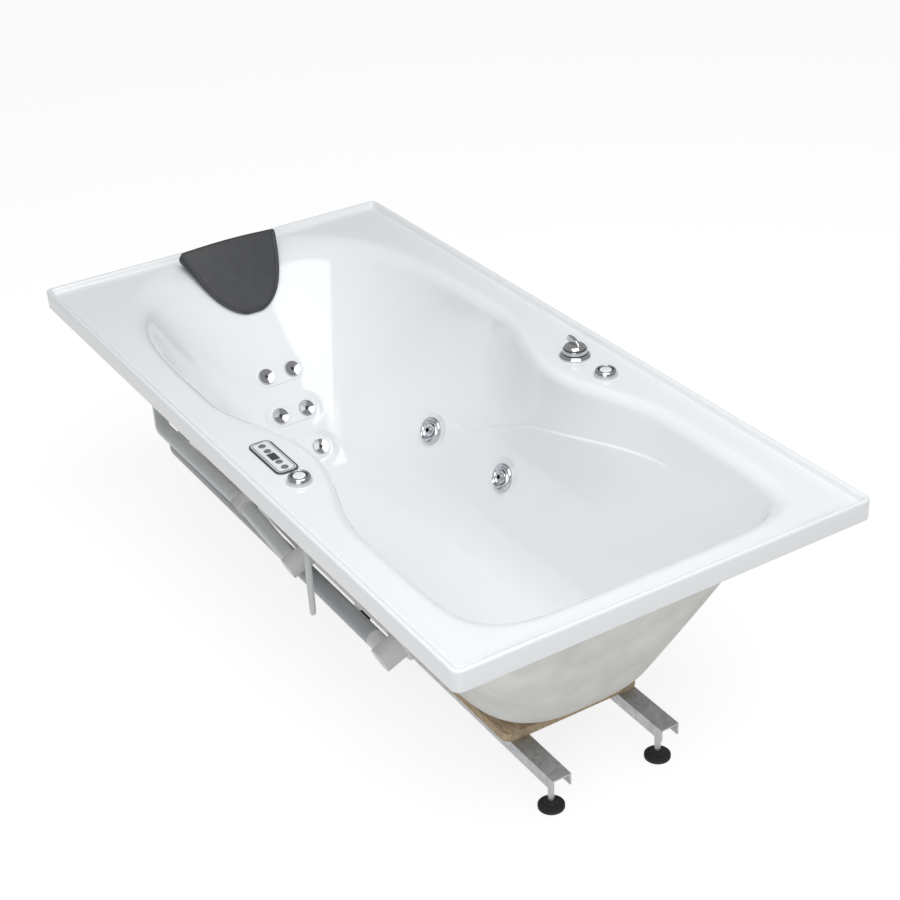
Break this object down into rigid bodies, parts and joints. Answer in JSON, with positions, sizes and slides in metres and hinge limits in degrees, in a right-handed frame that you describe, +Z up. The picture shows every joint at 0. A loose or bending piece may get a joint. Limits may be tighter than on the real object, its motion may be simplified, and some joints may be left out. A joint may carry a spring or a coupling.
{
  "type": "jetted bathtub",
  "caption": "Rectangular white acrylic jetted bath with headrest, water jets, deck controls, pump and a steel and board cradle on levelling feet.",
  "frame": {"origin": "on the floor under the middle of the bath, at the centre of its box", "axes": "+X runs from the head end, with the headrest and pump, to the foot end; +Y runs from the keypad side to the diverter side; +Z up"},
  "size_m": [1.7, 0.84, 0.588],
  "materials": {
    "acrylic": "polished white sanitary acrylic",
    "bezel": "moulded, gloss",
    "box_plastic": "moulded, fine grain",
    "chrome": "bright plated",
    "clear_hose": "soft, translucent look",
    "cushion": "satin self-skinned foam",
    "display": "smoked window",
    "grey_pipe": "extruded, satin",
    "keys": "soft touch",
    "motor": "baked enamel",
    "pump_body": "glass-filled, satin",
    "rubber": "matt moulded",
    "timber": "sealed moisture-proof board",
    "white_plastic": "moulded, gloss",
    "zinc": "zinc plated"
  },
  "bodies": {
    "bath": {"bath_shell": "acrylic", "back_jet_faces": "chrome", "side_jet_nuts": "white_plastic", "side_jet_bodies": "white_plastic", "side_water_hoses": "grey_pipe", "air_hoses": "clear_hose", "back_jet_bodies": "white_plastic", "back_water_hoses": "grey_pipe", "base_board": "timber", "cradle_rail_near": "zinc", "cradle_rail_far": "zinc", "foot_pads": "rubber", "levelling_studs": "zinc", "levelling_nuts": "zinc", "rim_batten_near": "timber", "rim_batten_far": "timber", "headrest_pad": "cushion", "headrest_pegs": "rubber", "keypad_bezel": "bezel", "keypad_display": "display", "air_valve_bodies": "white_plastic", "diverter_flange": "chrome", "diverter_body": "white_plastic", "waste_fitting": "chrome", "waste_nut": "pump_body", "suction_body": "white_plastic", "suction_nut": "pump_body", "suction_cover": "chrome", "suction_screw": "zinc", "pump_board": "timber", "pump_plate": "zinc", "pump_mounts": "rubber", "pump_motor": "motor", "pump_fan_cover": "pump_body", "pump_volute": "pump_body", "outlet_tee": "grey_pipe", "suction_pipe": "grey_pipe", "control_box": "box_plastic", "cable_gland": "pump_body"},
    "side_jet_ring_1": {"side_jet_ring_1": "chrome"},
    "side_jet_ball_1": {"side_jet_ball_1": "white_plastic"},
    "side_jet_ring_2": {"side_jet_ring_2": "chrome"},
    "side_jet_ball_2": {"side_jet_ball_2": "white_plastic"},
    "side_jet_ring_3": {"side_jet_ring_3": "chrome"},
    "side_jet_ball_3": {"side_jet_ball_3": "white_plastic"},
    "side_jet_ring_4": {"side_jet_ring_4": "chrome"},
    "side_jet_ball_4": {"side_jet_ball_4": "white_plastic"},
    "keypad_key_1": {"keypad_key_1": "keys"},
    "keypad_key_2": {"keypad_key_2": "keys"},
    "keypad_key_3": {"keypad_key_3": "keys"},
    "keypad_key_4": {"keypad_key_4": "keys"},
    "air_knob_near": {"air_knob_near": "chrome"},
    "air_knob_far": {"air_knob_far": "chrome"},
    "diverter_handle": {"diverter_handle": "chrome"},
    "waste_plug": {"waste_plug": "chrome"},
    "pump_rotor": {"pump_rotor": "pump_body"}
  },
  "joints": [
    {"name": "jet_1_flow_turn", "type": "hinge", "parent": "bath", "child": "side_jet_ring_1", "pos_m": [-0.26013, -0.20492, 0.24954], "axis": [0.129, 0.8798, 0.4575], "range_deg": [0, 90]},
    {"name": "jet_1_ball_tilt", "type": "hinge", "parent": "side_jet_ring_1", "child": "side_jet_ball_1", "pos_m": [-0.25966, -0.20175, 0.25119], "axis": [-0.9894, 0.145, 0], "range_deg": [-15, 15]},
    {"name": "jet_2_flow_turn", "type": "hinge", "parent": "bath", "child": "side_jet_ring_2", "pos_m": [-0.00001, -0.22149, 0.2496], "axis": [0.0096, 0.9185, 0.3953], "range_deg": [0, 90]},
    {"name": "jet_2_ball_tilt", "type": "hinge", "parent": "side_jet_ring_2", "child": "side_jet_ball_2", "pos_m": [0.00003, -0.21818, 0.25103], "axis": [-0.9999, 0.0105, 0], "range_deg": [-15, 15]},
    {"name": "jet_3_flow_turn", "type": "hinge", "parent": "bath", "child": "side_jet_ring_3", "pos_m": [-0.26013, 0.20492, 0.24954], "axis": [0.129, -0.8798, 0.4575], "range_deg": [0, 90]},
    {"name": "jet_3_ball_tilt", "type": "hinge", "parent": "side_jet_ring_3", "child": "side_jet_ball_3", "pos_m": [-0.25966, 0.20175, 0.25119], "axis": [0.9894, 0.145, 0], "range_deg": [-15, 15]},
    {"name": "jet_4_flow_turn", "type": "hinge", "parent": "bath", "child": "side_jet_ring_4", "pos_m": [-0.00001, 0.22149, 0.2496], "axis": [0.0096, -0.9185, 0.3953], "range_deg": [0, 90]},
    {"name": "jet_4_ball_tilt", "type": "hinge", "parent": "side_jet_ring_4", "child": "side_jet_ball_4", "pos_m": [0.00003, 0.21818, 0.25103], "axis": [0.9999, 0.0105, 0], "range_deg": [-15, 15]},
    {"name": "key_1_press", "type": "slide", "parent": "bath", "child": "keypad_key_1", "axis": [0, 0, -1], "range_m": [0, 0.0006], "stiffness_N_per_m": 300, "springref_m": -0.001},
    {"name": "key_2_press", "type": "slide", "parent": "bath", "child": "keypad_key_2", "axis": [0, 0, -1], "range_m": [0, 0.0006], "stiffness_N_per_m": 300, "springref_m": -0.001},
    {"name": "key_3_press", "type": "slide", "parent": "bath", "child": "keypad_key_3", "axis": [0, 0, -1], "range_m": [0, 0.0006], "stiffness_N_per_m": 300, "springref_m": -0.001},
    {"name": "key_4_press", "type": "slide", "parent": "bath", "child": "keypad_key_4", "axis": [0, 0, -1], "range_m": [0, 0.0006], "stiffness_N_per_m": 300, "springref_m": -0.001},
    {"name": "air_near_turn", "type": "hinge", "parent": "bath", "child": "air_knob_near", "pos_m": [0.2, -0.338, 0.541], "axis": [0, 0, 1], "range_deg": [0, 90]},
    {"name": "air_far_turn", "type": "hinge", "parent": "bath", "child": "air_knob_far", "pos_m": [0.2, 0.338, 0.541], "axis": [0, 0, 1], "range_deg": [0, 90]},
    {"name": "diverter_turn", "type": "hinge", "parent": "bath", "child": "diverter_handle", "pos_m": [0.097, 0.338, 0.538], "axis": [0, 0, 1], "range_deg": [0, 180]},
    {"name": "plug_rise", "type": "slide", "parent": "bath", "child": "waste_plug", "axis": [0, 0, 1], "range_m": [0, 0.008]},
    {"name": "rotor_spin", "type": "hinge", "parent": "bath", "child": "pump_rotor", "pos_m": [-0.7, 0, 0.174], "axis": [0, 1, 0], "continuous": true}
  ]
}
